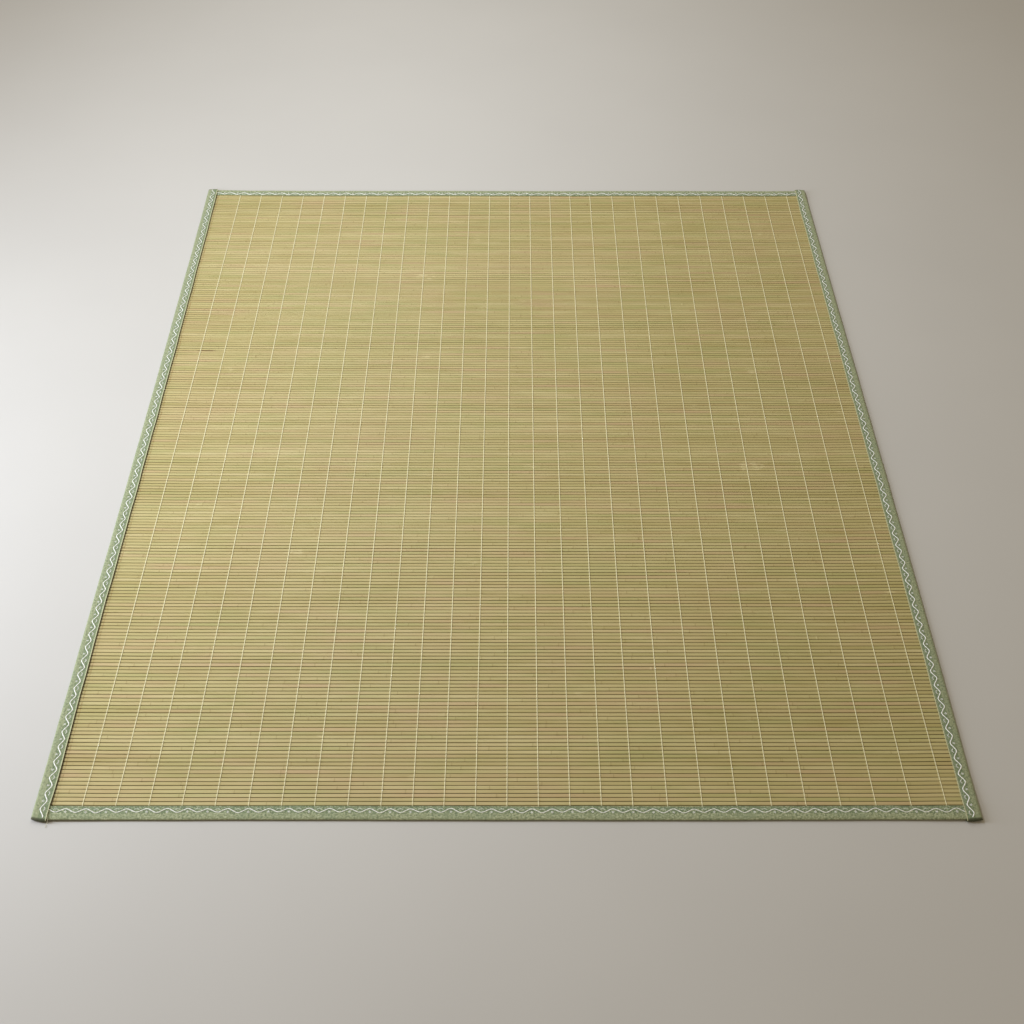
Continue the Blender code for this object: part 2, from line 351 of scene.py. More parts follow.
# One slat's section: share of its half width, then inset in mm, then share of its thickness
SLAT_PROFILE = (
    (-1, 0.45, 0.00),
    (1, -0.45, 0.00),
    (1, -0.06, 0.22),
    (1, 0.00, 0.62),
    (1, -0.30, 0.89),
    (1, -1.10, 0.985),
    (0, 0.00, 1.00),
    (-1, 1.10, 0.985),
    (-1, 0.30, 0.89),
    (-1, 0.00, 0.62),
    (-1, 0.06, 0.22),
)
BASE_STATIONS = 31
KNOTS_PER_SLAT = 5
KNOT_OFFSETS = np.array([-4.5, -1.3, 0.0, 1.3, 4.5]) * MM
KNOT_RISE = 0.14 * MM
WORN_LINE = 6.6 * MM
MARK_PLACE = (-0.668, 0.2873)


def slat_stations(rng):
    """Stations along every slat, an even row and five around each knot, and each station's knot share."""
    even = np.linspace(-PANEL_HALF_WIDTH, PANEL_HALF_WIDTH, BASE_STATIONS)
    first = rng.uniform(-0.70, -0.48, (SLAT_COUNT, 1))
    spacing = rng.uniform(0.24, 0.32, (SLAT_COUNT, 1))
    knots = first + spacing * np.arange(KNOTS_PER_SLAT)
    knots = knots + rng.normal(0.0, 0.006, (SLAT_COUNT, KNOTS_PER_SLAT))
    span = PANEL_HALF_WIDTH - 8 * MM
    knots = (knots + span) % (2 * span) - span
    around = (knots[:, :, None] + KNOT_OFFSETS).reshape(SLAT_COUNT, -1)
    peak = np.tile(np.array([0.0, 0.45, 1.0, 0.45, 0.0]), KNOTS_PER_SLAT)
    x = np.concatenate([np.tile(even, (SLAT_COUNT, 1)), around], axis=1)
    share = np.concatenate([np.zeros((SLAT_COUNT, BASE_STATIONS)), np.tile(peak, (SLAT_COUNT, 1))], axis=1)
    order = np.argsort(x, axis=1)
    return np.take_along_axis(x, order, axis=1), np.take_along_axis(share, order, axis=1)


def slat_points(settings):
    """All slats as one array (slat, station, profile place, xyz), and each station's knot share.

    Each slat is its profile carried along X. Its middle line and half width swing slowly by a sine
    of their own, its top rolls by a degree or so, it swells at its knots, and it rises with the two
    lifts towards the mat's edges.
    """
    rng = np.random.default_rng(settings.seed)
    x, knot = slat_stations(rng)
    column = (SLAT_COUNT, 1)
    wave = 2 * math.pi / rng.uniform(0.35, 1.3, column)
    phase = rng.uniform(0.0, 2 * math.pi, column)
    middle = (np.arange(SLAT_COUNT)[:, None] - (SLAT_COUNT - 1) / 2) * SLAT_PITCH
    middle = middle + rng.normal(0.0, 0.04 * MM, column) + 0.08 * MM * np.sin(wave * x + phase)
    half = settings.slat_width / 2 + rng.normal(0.0, 0.07 * MM, column)
    half = half + 0.10 * MM * np.sin(0.7 * wave * x + 2.0 * phase) + 0.10 * MM * knot
    half = np.clip(half, 3.3 * MM, 3.88 * MM)
    thick = settings.slat_thickness + rng.normal(0.0, 0.06 * MM, column) + KNOT_RISE * knot
    roll = rng.normal(0.0, math.radians(1.2), column) + math.radians(0.8) * np.sin(0.5 * wave * x + phase)
    share, inset, height = (np.array(row) for row in zip(*SLAT_PROFILE))
    across = share * half[:, :, None] + inset * MM
    y = middle[:, :, None] + across
    base = settings.underside + lift_across(x, settings.edge_lift)
    z = base[:, :, None] + height * thick[:, :, None] + height * across * np.tan(roll)[:, :, None]
    z = z + lift_along(middle, settings.edge_lift)[:, :, None]
    points = np.stack([np.broadcast_to(x[:, :, None], y.shape), y, z], axis=-1)
    return points, knot


def bamboo_material(settings):
    """Split bamboo, planed and dried: straw to olive, streaked along each slat, satin on the skin.

    Each slat is a cell across Y, so that its tone and its streaks are its own. Beside the left tape's
    lip the slats are darkened by a painted shadow of the raised lip, and a line of wear runs 6.6 mm
    away; one slat has a dark mark.
    """
    material, tree, shader = new_material("split_bamboo_satin", 0.5)
    shader.inputs["Specular IOR Level"].default_value = 0.32
    blend, between, product, distance = colour_tools(tree)
    place = add_node(tree, "ShaderNodeTexCoord").outputs["Object"]
    axes = add_node(tree, "ShaderNodeSeparateXYZ", {0: place})
    x, y = axes.outputs["X"], axes.outputs["Y"]
    pitches = product(y, 1 / SLAT_PITCH)
    cell = add_node(tree, "ShaderNodeMath", {0: pitches}, operation="ROUND").outputs[0]
    side = distance(pitches, cell)

    def streaks(along, across, source, detail, seed):
        """Noise stretched along the slat, by spots per metre along X and per unit of the source across."""
        u = add_node(tree, "ShaderNodeMath", {0: x, 1: along, 2: seed}, operation="MULTIPLY_ADD").outputs[0]
        spot = add_node(tree, "ShaderNodeCombineXYZ", {0: u, 1: product(source, across), 2: seed}).outputs[0]
        noise = add_node(tree, "ShaderNodeTexNoise", {"Vector": spot, "Scale": 1.0, "Detail": detail})
        return noise.outputs["Fac"]

    own = add_node(tree, "ShaderNodeTexWhiteNoise", {"W": cell}, noise_dimensions="1D").outputs["Value"]
    reach = streaks(8.0, 7.31, cell, 2.0, 3.7)
    shift = streaks(5.5, 4.17, cell, 1.5, 9.1)
    fibre = streaks(16.0, 1400.0, y, 3.0, 1.3)
    fine = streaks(60.0, 5200.0, y, 2.0, 5.9)
    patch = streaks(3.4, 4.6, y, 3.0, 12.4)
    tone = add_node(tree, "ShaderNodeMath", {0: own, 1: 0.16, 2: 0.20}, operation="MULTIPLY_ADD").outputs[0]
    for source, weight in ((reach, 0.34), (fibre, 0.30), (fine, 0.12), (patch, 0.14)):
        weighed = add_node(tree, "ShaderNodeMath", {0: source, 1: weight, 2: tone}, operation="MULTIPLY_ADD")
        tone = weighed.outputs[0]
    ramp = add_node(tree, "ShaderNodeValToRGB", {0: between(tone, 0.42, 1.12)})
    stops = ramp.color_ramp.elements
    stops[0].color = linear(settings.olive)
    stops[1].color = linear(settings.pale)
    stops.new(0.45).color = linear(settings.straw)
    colour = blend(between(shift, 0.50, 0.80, 0.85), ramp.outputs[0], linear(settings.tan))
    colour = blend(between(shift, 0.52, 0.26, 0.70), colour, linear(settings.green))
    region = streaks(7.0, 7.0, y, 2.0, 21.5)
    colour = blend(between(region, 0.48, 0.76, 0.26), colour, linear(settings.tan))
    colour = blend(between(region, 0.50, 0.26, 0.24), colour, linear(settings.green))
    scuff = streaks(9.0, 16.0, y, 1.0, 33.1)
    speck = streaks(70.0, 260.0, y, 2.0, 41.7)
    scuffed = product(between(scuff, 0.70, 0.80), between(speck, 0.44, 0.66))
    colour = blend(scuffed, colour, linear("D8CB98"))
    from_lip = add_node(tree, "ShaderNodeAttribute", attribute_name="from_lip").outputs["Fac"]
    seam = distance(from_lip, WORN_LINE)
    wear_and_end_shade = product(between(seam, 1.6 * MM, 0.4 * MM, 0.6), between(speck, 0.35, 0.60))
    colour = blend(wear_and_end_shade, colour, linear("9A7642"))
    # Painted shadow of the left tape's raised lip: the slats darken within 1.4 mm of it, fading out by 3.4 mm
    colour = blend(between(from_lip, 3.4 * MM, 1.4 * MM, 0.85), colour, linear("4A4024"))
    mark_x = between(distance(x, MARK_PLACE[0]), 50 * MM, 20 * MM)
    mark_y = between(distance(y, MARK_PLACE[1]), 2.6 * MM, 1.0 * MM)
    breaks = between(streaks(26.0, 90.0, y, 1.0, 47.3), 0.42, 0.56)
    mark = product(product(mark_x, mark_y), breaks)
    colour = blend(mark, colour, linear("6B4F2B"))
    knot = add_node(tree, "ShaderNodeAttribute", attribute_name="knot").outputs["Fac"]
    colour = blend(between(knot, 0.35, 1.0, 0.36), colour, linear("8A7240"))
    spot = add_node(tree, "ShaderNodeTexNoise", {"Scale": 1.0, "Detail": 1.0, "Vector": add_node(
        tree, "ShaderNodeVectorMath", {0: place, 1: (90.0, 520.0, 0.0)}, operation="MULTIPLY").outputs[0]})
    colour = blend(between(spot.outputs["Fac"], 0.70, 0.78, 0.35), colour, linear("7C6A3A"))
    # Sawn edges: their own browner colour, darkened further as painted shade in the narrow gaps between slats
    colour = blend(between(side, 0.395, 0.455, 0.85), colour, linear(settings.cut_edge_and_gap_shade))
    tree.links.new(colour, shader.inputs["Base Color"])
    gloss = add_node(tree, "ShaderNodeMapRange", {"Value": fibre, 1: 0.3, 2: 0.7, 3: 0.42, 4: 0.62})
    tree.links.new(gloss.outputs[0], shader.inputs["Roughness"])
    bump = add_node(tree, "ShaderNodeBump", {"Strength": 0.35, "Distance": 0.12 * MM, "Height": fibre})
    tree.links.new(bump.outputs[0], shader.inputs["Normal"])
    return material


class MAT_OT_lay_slats(bpy.types.Operator):
    """Lay the bamboo slats side by side, in a few sections from near to far."""

    bl_idname = "mat.lay_slats"
    bl_label = "Lay slats"

    def execute(self, context):
        settings = context.scene.mat_slats
        points, knot = slat_points(settings)
        material = bamboo_material(settings)
        left = all_tapes(context.scene)[0]
        for number, rows in enumerate(np.array_split(np.arange(SLAT_COUNT), SLAT_SECTIONS), start=1):
            section = points[rows]
            slats, stations, ring = section.shape[:3]
            quads, caps = strand_faces(slats, stations, ring)
            piece = build_mesh(f"slats_{number}", section.reshape(-1, 3), quads, caps, material)
            add_attribute(piece, "knot", np.repeat(knot[rows].ravel(), ring))
            add_attribute(piece, "from_lip", (section[..., 0] + left.lip(section[..., 1])).ravel())
            piece.data.set_sharp_from_angle(angle=math.radians(48))
            settle(piece, ["slat_panel"])
        return {"FINISHED"}


# Warp threads


YARN_SIDES = 5
SHOULDER = 3.35 * MM
CROSSING_HEIGHT = 0.42 * MM
CROSSING_SHIFT = 0.22 * MM
THREADS_PER_PIECE = 9


def yarn_paths(settings, slat):
    """Middle lines of all yarns, two to each thread, as (yarn, station, xyz), and how far each lies flat.

    A yarn passes over one slat and under the next, and its partner does the opposite, so they cross
    in every gap. Each slat has a station at both shoulders, and each gap has one.
    """
    names = sorted(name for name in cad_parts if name.startswith("thread_"))
    boxes = [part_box(name) for name in names]
    near = np.array([low.x for low, _ in boxes]) + 0.6 * MM
    far = np.array([high.x for _, high in boxes]) - 0.6 * MM
    slats = np.arange(SLAT_COUNT)
    middle = (slats - (SLAT_COUNT - 1) / 2) * SLAT_PITCH
    y = np.stack([middle - SLAT_PITCH / 2, middle - SHOULDER, middle + SHOULDER], axis=1).ravel()
    over = np.stack([np.zeros(SLAT_COUNT), (-1.0) ** slats, (-1.0) ** slats], axis=1).ravel()
    y = np.append(y, PANEL_HALF_LENGTH)
    over = np.append(over, 0.0)
    half_length = boxes[0][1].y
    share = (y / half_length + 1) / 2
    line = near[:, None] + (far - near)[:, None] * share
    centre = slat.underside + slat.slat_thickness / 2
    rise = slat.slat_thickness / 2 + settings.yarn_thickness / 2
    partner = np.array([1.0, -1.0])
    height = centre + rise * over * partner[:, None] + CROSSING_HEIGHT * (over == 0)
    height = height + lift_along(y, slat.edge_lift)
    x = line[:, None, :] + CROSSING_SHIFT * partner[:, None] * np.cos(np.arange(len(y)) * math.pi / 3)
    z = height + lift_across(line, slat.edge_lift)[:, None, :]
    paths = np.stack([x, np.broadcast_to(y, x.shape), z], axis=-1)
    return names, paths, np.abs(over)


def yarn_points(paths, flat, settings):
    """Five-sided rings along each middle line, wide and low on a slat, narrow and round in a gap."""
    ahead = np.gradient(paths, axis=1)
    ahead[..., 0] = 0.0
    ahead /= np.linalg.norm(ahead, axis=-1, keepdims=True)
    above = np.stack([np.zeros(ahead.shape[:2]), -ahead[..., 2], ahead[..., 1]], axis=-1)
    sideways = np.array([1.0, 0.0, 0.0])
    turn = 2 * math.pi * np.arange(YARN_SIDES) / YARN_SIDES
    wide = np.where(flat > 0.5, settings.yarn_width / 2, 0.62 * MM)[:, None, None]
    low = np.where(flat > 0.5, settings.yarn_thickness / 2, 0.36 * MM)[:, None, None]
    ring = paths[:, :, None, :] + wide * np.sin(turn)[:, None] * sideways
    return ring + low * np.cos(turn)[:, None] * above[:, :, None, :]


def yarn_material(name, colour, roughness=0.82, ply_shade=0.72, sheen=0.25):
    """Twisted yarn: matt, a little fuzzy, its plies drawn as slanting bands 1.2 mm apart."""
    material, tree, shader = new_material(name, roughness, sheen)
    place = add_node(tree, "ShaderNodeTexCoord").outputs["Object"]
    slant = add_node(tree, "ShaderNodeVectorMath", {0: place, 1: (700.0, 830.0, 300.0)}, operation="MULTIPLY")
    plies = add_node(tree, "ShaderNodeTexWave", {"Vector": slant.outputs[0], "Scale": 1.0, "Distortion": 1.5},
                     bands_direction="DIAGONAL")
    fuzz = add_node(tree, "ShaderNodeTexNoise", {"Vector": place, "Scale": 900.0, "Detail": 2.0})
    light = linear(colour)
    dark = tuple(ply_shade * part for part in light[:3]) + (1.0,)
    blend, _, product, _ = colour_tools(tree)
    colour = blend(product(plies.outputs["Fac"], fuzz.outputs["Fac"]), light, dark)
    tree.links.new(colour, shader.inputs["Base Color"])
    bump = add_node(tree, "ShaderNodeBump", {
        "Strength": 0.5, "Distance": 0.15 * MM, "Height": plies.outputs["Fac"]})
    tree.links.new(bump.outputs[0], shader.inputs["Normal"])
    return material


class MAT_OT_weave_threads(bpy.types.Operator):
    """Weave pairs of cream yarns over and under the slats."""

    bl_idname = "mat.weave_threads"
    bl_label = "Weave threads"

    def execute(self, context):
        settings = context.scene.mat_threads
        names, paths, flat = yarn_paths(settings, context.scene.mat_slats)
        material = yarn_material("cotton_warp_yarn", settings.yarn)
        for start in range(0, len(names), THREADS_PER_PIECE):
            members = paths[start:start + THREADS_PER_PIECE].reshape(-1, paths.shape[2], 3)
            points = yarn_points(members, flat, settings)
            quads, caps = strand_faces(len(members), points.shape[1], YARN_SIDES)
            piece = build_mesh(f"warp_yarns_{start // THREADS_PER_PIECE + 1}", points.reshape(-1, 3),
                               quads, caps, material)
            settle(piece, names[start:start + THREADS_PER_PIECE])
        return {"FINISHED"}


# Folded tapes


ROW_STEP = 5.0 * MM
LOWER_ROWS = 8
FOLD_ROWS = 11
TIP_SHARE = 0.40
UPPER_ROWS = 13
SEAM_INSET = 1.9 * MM
END_START = 0.9714
END_REACH = 3.4 * MM
END_TURNS = np.radians([18, 36, 52, 66, 78, 86])
FLOOR_GAP = 0.03 * MM
CURL = 1.3 * MM
CURL_REACH = 5.0 * MM
END_SLANT = {"binding_left": (4.5 * MM, 2.0 * MM), "binding_right": (2.5 * MM, 2.0 * MM)}
SIDE_LIP_HEIGHT = 4.6 * MM
SEAM_DIP = 0.35 * MM
LIP_FLARE = {
    "binding_left": 1.25 * MM,
    "binding_right": 0.25 * MM,
    "binding_near": 0.10 * MM,
    "binding_far": 0.10 * MM,
}
CORNER_LIP_HEIGHT = 6.7 * MM
END_LIP_HEIGHT = 4.6 * MM
UNTHREADED = 0.5 * MM
NEAR_EASE_START = 0.55
NEAR_EASE_LENGTH = 0.40
SLANT_LENGTH = 24 * MM
# Painted shade on a side tape's turned-in ends: how far before the turn it starts, and the length over which
# it builds up
END_SHADE_BEFORE = 4 * MM
END_SHADE_LENGTH = 7 * MM


def tape_lines(name):
    """Stations along a binding's solid, with the distances of its lip and outer edge from the middle."""
    axis, side = TAPES[name]
    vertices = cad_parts[name].data.vertices
    points = np.empty(3 * len(vertices), np.float32)
    vertices.foreach_get("co", points)
    points = points.reshape(-1, 3)
    along = np.round(points[:, axis], 4)
    reach = side * points[:, 1 - axis]
    stations = np.unique(along)
    lip = np.array([reach[along == station].min() for station in stations])
    outer = np.array([reach[along == station].max() for station in stations])
    whole = outer - lip > 15 * MM
    return stations[whole], lip[whole], outer[whole]


class Tape:
    """One folded tape: its lines from the frame, and the height of its upper face."""

    def __init__(self, name, settings, edge_lift):
        self.name = name
        self.axis, self.side = TAPES[name]
        self.stations, self.lip_line, self.outer_line = tape_lines(name)
        self.crown = settings.crown
        self.lower_fold = settings.fold_reach
        self.upper_fold = settings.shoulder_reach
        self.edge_lift = edge_lift
        self.hand = self.side if self.axis == 0 else -self.side
        self.phase = 1.7 * (1 + list(TAPES).index(name))
        self.flare = LIP_FLARE[name]
        self.vine_inset = settings.vine_inset + VINE_DRIFT[name] * MM

    def lip(self, s):
        """Distance of the upper lip from the mat's middle, with a slight waver."""
        even, more = LIP_EASE[self.name]
        line = np.interp(s, self.stations, self.lip_line) - even
        line = line - more * smooth((-s - NEAR_EASE_START) / NEAR_EASE_LENGTH)
        return line + 0.18 * MM * np.sin(s / 0.019 + self.phase)

    def outer(self, s):
        """Distance of the outer fold from the mat's middle."""
        line = np.interp(s, self.stations, self.outer_line)
        return line - 0.12 * MM * (1 + np.sin(s / 0.027 + self.phase))

    def bottom(self, s):
        """Height of the lower face."""
        if self.axis == 1:
            return np.full_like(s, FLOOR_GAP)
        return FLOOR_GAP + lift_across(s, self.edge_lift)

    def lip_height(self, s):
        """Height of the upper face at its lip."""
        if self.axis == 0:
            bare = UNTHREADED * smooth((np.abs(s) - 0.700) / 0.024)
            return END_LIP_HEIGHT + lift_across(s, self.edge_lift) - bare
        level = SIDE_LIP_HEIGHT + lift_along(s, self.edge_lift)
        corner = smooth((np.abs(s) - CORNER_START + CORNER_CLIMB) / CORNER_CLIMB)
        return level + (CORNER_LIP_HEIGHT - level) * corner

    def top(self, s, d):
        """Height of the upper face at distance d outwards from its lip.

        It rises outwards by its crown, flares up at the loose lip, dips along the seam, and puckers:
        short puckers that die away from the seam, and longer ones over the whole tape.
        """
        height = self.lip_height(s) + self.crown * smooth(d / (8 * MM))
        height = height + self.flare * np.exp(-np.maximum(d, 0.0) / (1.1 * MM))
        height = height - SEAM_DIP * np.exp(-((d - SEAM_INSET) / (0.9 * MM)) ** 2)
        short = np.sin(s / 0.0021 + 2.0 * np.sin(s / 0.031 + self.phase))
        height = height + 0.09 * MM * short * np.exp(-np.abs(d - SEAM_INSET) / (3.2 * MM))
        height = height + 0.13 * MM * np.sin(s / 0.0093 + self.phase + d / 0.006) * np.exp(-d / (12 * MM))
        height = height + 0.11 * MM * np.sin(s / 0.0312 + 2 * self.phase)
        if self.axis == 1:
            to_end = np.clip(CAD_BOX[1].y - np.abs(s), 0.0, 1.0)
            height = height + 0.22 * MM * np.sin(d / 0.0011 + self.phase) * np.exp(-to_end / (9 * MM))
        return height

    def world(self, s, reach, z):
        """Points from distance along, distance outwards and height."""
        s, reach, z = np.broadcast_arrays(s, self.side * reach, z)
        return np.stack([reach, s, z] if self.axis == 1 else [s, reach, z], axis=-1)

    def place(self, s, d, h):
        """Points at height h above the upper face, at distance d from its lip."""
        return self.world(s, self.lip(s) + d, self.top(s, d) + h)


def tape_rows(tape):
    """Places along a tape where it has a row of points, and how far each row is pinched shut.

    A side tape's ends are turned in: its last rows follow a quarter circle, and close on their middle.
    """
    if tape.axis == 0:
        half = PANEL_HALF_WIDTH
        rows = np.linspace(-half, half, round(2 * half / ROW_STEP) + 1)
        return rows, np.ones_like(rows)
    core = np.linspace(-END_START, END_START, round(2 * END_START / ROW_STEP) + 1)
    turned = END_START + END_REACH * np.sin(END_TURNS)
    open_share = np.cos(END_TURNS) ** 0.75
    rows = np.concatenate([-turned[::-1], core, turned])
    shares = np.concatenate([open_share[::-1], np.ones_like(core), open_share])
    return rows, shares


def tape_grid(tape):
    """Folded tape as a grid (row, place across, xyz), and its cloth coordinates.

    Across, it runs from the lower lip outwards, round the fold on two quarter ellipses, the upper one
    longer, and back along the upper face to the upper lip. A side tape's ends slant inwards of its fold.
    """
    rows, share = tape_rows(tape)
    s = rows[:, None]
    surface_s = np.clip(s, -END_START, END_START) if tape.axis == 1 else s
    whole = tape.outer(surface_s) - tape.lip(surface_s)
    width = whole - tape.upper_fold
    lower_width = whole - tape.lower_fold
    bottom = tape.bottom(surface_s)
    shoulder = tape.top(surface_s, width)
    lower_d = lower_width * np.linspace(0.0, 1.0, LOWER_ROWS)
    bottom = bottom + CURL * smooth((lower_d - lower_width + CURL_REACH) / CURL_REACH)
    lower_z, bottom = bottom, bottom[:, -1:]
    turn = np.linspace(-math.pi / 2, math.pi / 2, FOLD_ROWS + 2)[1:-1]
    fold = np.where(turn < 0, tape.lower_fold, tape.upper_fold)
    fold_d = whole - fold * (1 - np.cos(turn))
    tip = bottom + TIP_SHARE * (shoulder - bottom)
    fold_z = tip + np.where(turn < 0, tip - bottom, shoulder - tip) * np.sin(turn)
    upper_d = width * np.linspace(1.0, 0.0, UPPER_ROWS) ** 1.5
    upper_z = tape.top(surface_s, upper_d)
    d = np.concatenate([lower_d, fold_d, upper_d], axis=1)
    z = np.concatenate([lower_z, fold_z, upper_z], axis=1)
    middle = (bottom + shoulder) / 2
    z = middle + (z - middle) * share[:, None]
    slant = np.zeros_like(s)
    if tape.axis == 1:
        near, far = END_SLANT[tape.name]
        reach = smooth((np.abs(s) - END_START + SLANT_LENGTH) / SLANT_LENGTH)
        slant = reach * np.where(s < 0, near, -far)
    points = tape.world(s + slant * (d / whole) ** 2, tape.lip(surface_s) + d, z)
    steps = np.linalg.norm(np.diff(points, axis=1), axis=-1)
    from_lip = np.cumsum(steps[:, ::-1], axis=1)[:, ::-1]
    cloth_w = np.concatenate([from_lip, np.zeros_like(s)], axis=1)
    # Share of painted shade towards a side tape's turned-in ends, passed to the material as the cloth's third
    # coordinate
    wear_and_end_shade = tape.axis * smooth((np.abs(s) - END_START + END_SHADE_BEFORE) / END_SHADE_LENGTH)
    cloth = np.stack([np.broadcast_to(s, d.shape), cloth_w, np.broadcast_to(wear_and_end_shade, d.shape)], axis=-1)
    return points, cloth


def tape_material(settings):
    """Woven sage tape: a bluish ground behind the vine, a flecked ground outside it, twill ribs, painted
    shade at the turned-in ends.

    The twill is drawn at 1.1 mm, about twice its real spacing, so that it shows.
    """
    material, tree, shader = new_material("woven_sage_tape", 0.88, sheen=0.15)
    blend, between, product, _ = colour_tools(tree)
    cloth = add_node(tree, "ShaderNodeAttribute", attribute_name="cloth").outputs["Vector"]
    axes = add_node(tree, "ShaderNodeSeparateXYZ", {0: cloth})
    width = axes.outputs["Y"]
    turned = axes.outputs["Z"]

    flecks = add_node(tree, "ShaderNodeTexVoronoi", {"Vector": cloth, "Scale": 380.0})
    cloud = add_node(tree, "ShaderNodeTexNoise", {"Vector": cloth, "Scale": 300.0, "Detail": 2.0})
    shade = add_node(tree, "ShaderNodeTexNoise", {"Vector": cloth, "Scale": 22.0, "Detail": 2.0})
    slant = add_node(tree, "ShaderNodeVectorMath", {0: cloth, 1: (900.0, 900.0, 0.0)}, operation="MULTIPLY")
    twill = add_node(tree, "ShaderNodeTexWave", {"Vector": slant.outputs[0], "Scale": 1.0, "Distortion": 0.6},
                     bands_direction="DIAGONAL")
    inner = between(width, 15.5 * MM, 13.5 * MM)
    colour = blend(inner, linear(settings.sage), linear(settings.ground))
    sides = add_node(tree, "ShaderNodeAttribute", attribute_name="selvedge_and_lip_highlight").outputs["Fac"]
    calm = add_node(tree, "ShaderNodeMath", {0: sides, 1: -0.65, 2: 1.0}, operation="MULTIPLY_ADD").outputs[0]
    bright = product(between(flecks.outputs["Distance"], 0.45, 0.10, 0.75), calm)
    colour = blend(bright, colour, linear(settings.fleck))
    pale = product(between(cloud.outputs["Fac"], 0.50, 0.66, 0.60), calm)
    colour = blend(pale, colour, linear(settings.fleck))
    colour = blend(between(cloud.outputs["Fac"], 0.48, 0.34, 0.60), colour, linear("4F5F45"))
    colour = blend(between(shade.outputs["Fac"], 0.45, 0.70, 0.30), colour, linear("7F9071"))
    colour = blend(between(twill.outputs["Fac"], 0.55, 0.95, 0.28), colour, linear("6F8062"))
    # Painted shade on the side tapes' turned-in ends, frayed by the cloud noise
    ragged_end_shade = add_node(tree, "ShaderNodeMath", {0: cloud.outputs["Fac"], 1: 0.9, 2: turned},
                      operation="MULTIPLY_ADD").outputs[0]
    colour = blend(between(ragged_end_shade, 0.85, 1.35, 0.80), colour, linear("3C3D26"))
    # Pale line along the side tapes' lips: partly the selvedge's own colour, partly a painted highlight where
    # the lip catches the light
    edge = product(sides, between(width, 1.5 * MM, 0.8 * MM))
    colour = blend(edge, colour, linear("D6D3A6"))
    tree.links.new(colour, shader.inputs["Base Color"])
    height = add_node(tree, "ShaderNodeMath", {0: twill.outputs["Fac"], 1: cloud.outputs["Fac"]},
                      operation="ADD").outputs[0]
    bump = add_node(tree, "ShaderNodeBump", {"Strength": 0.6, "Distance": 0.18 * MM, "Height": height})
    tree.links.new(bump.outputs[0], shader.inputs["Normal"])
    return material


def all_tapes(scene):
    """The four tapes of the mat."""
    return [Tape(name, scene.mat_tapes, scene.mat_slats.edge_lift) for name in TAPES]


class MAT_OT_fold_tapes(bpy.types.Operator):
    """Fold the four tapes over the mat's edges."""

    bl_idname = "mat.fold_tapes"
    bl_label = "Fold tapes"

    def execute(self, context):
        settings = context.scene.mat_tapes
        material = tape_material(settings)
        for tape in all_tapes(context.scene):
            points, cloth = tape_grid(tape)
            rows, places = points.shape[:2]
            numbers = np.arange(rows * places).reshape(rows, places)
            corners = [numbers[:-1, :-1], numbers[1:, :-1], numbers[1:, 1:], numbers[:-1, 1:]]
            quads = np.stack(corners, axis=-1).reshape(-1, 4)
            if tape.hand == 1:
                quads = quads[:, ::-1]
            piece = build_mesh(tape.name.replace("binding", "tape"), points.reshape(-1, 3), quads,
                               material=material)
            add_attribute(piece, "cloth", cloth.reshape(-1, 3))
            add_attribute(piece, "selvedge_and_lip_highlight", np.full(rows * places, 0.85 * tape.axis))
            wall = piece.modifiers.new("cloth thickness", "SOLIDIFY")
            wall.thickness = settings.cloth
            wall.offset = -1.0
            settle(piece, [tape.name])
        return {"FINISHED"}


# Vine, blossoms and stitches on the tapes


VINE_STEP = 2.0 * MM
VINE_RISE = 0.26 * MM
LENS_SIDES = 8
END_VISIBLE = 0.733
SIDE_VISIBLE = 0.9695


def vine_strand(tape, settings):
    """The vine on one tape: a four-cornered line, low and closed, carried along a sine.

    Its distance from the lip is the inset less the swing times cos a + 0.04 cos 3a, with
    a = 2 pi s / period; its width beats a little, as weft floats do.
    """
    reach = SIDE_VISIBLE if tape.axis == 1 else END_VISIBLE
    s = np.linspace(-reach, reach, round(2 * reach / VINE_STEP) + 1)
    angle = 2 * math.pi * s / settings.vine_period + tape.phase
    d = tape.vine_inset - settings.vine_swing * (np.cos(angle) + 0.04 * np.cos(3 * angle))
    d = d + 0.40 * MM * np.sin(s / 0.0071 + tape.phase)
    slope = settings.vine_swing * np.sin(angle) * 2 * math.pi / settings.vine_period
    norm = np.sqrt(1 + slope ** 2)
    half = VINE_SHARE[tape.name] * settings.vine_width / 2 * (1 + 0.22 * np.sin(s / 0.0011))
    corners = ((1.0, 0.02 * MM), (0.0, VINE_RISE), (-1.0, 0.02 * MM), (0.0, -0.12 * MM))
    rings = [
        tape.place(s - side * half * slope / norm, d + side * half / norm, rise)
        for side, rise in corners[::tape.hand]
    ]
    return np.stack(rings, axis=1)[None]


def lenses(tape, s, d, long, wide, angle, rise):
    """Small domed leaves: eight points round an ellipse, a top and a bottom point, for arrays of places."""
    turn = tape.hand * 2 * math.pi * np.arange(LENS_SIDES) / LENS_SIDES
    u = long / 2 * np.cos(turn)
    v = wide / 2 * np.sin(turn)
    s, d, angle = (np.asarray(value, float).reshape(-1, 1) for value in (s, d, angle))
    rim_s = s + u * np.cos(angle) - v * np.sin(angle)
    rim_d = d + u * np.sin(angle) + v * np.cos(angle)
    rim = tape.place(rim_s, rim_d, 0.02 * MM)
    top = tape.place(s, d, rise)
    base = tape.place(s, d, -0.12 * MM)
    return np.concatenate([rim, top, base], axis=1)


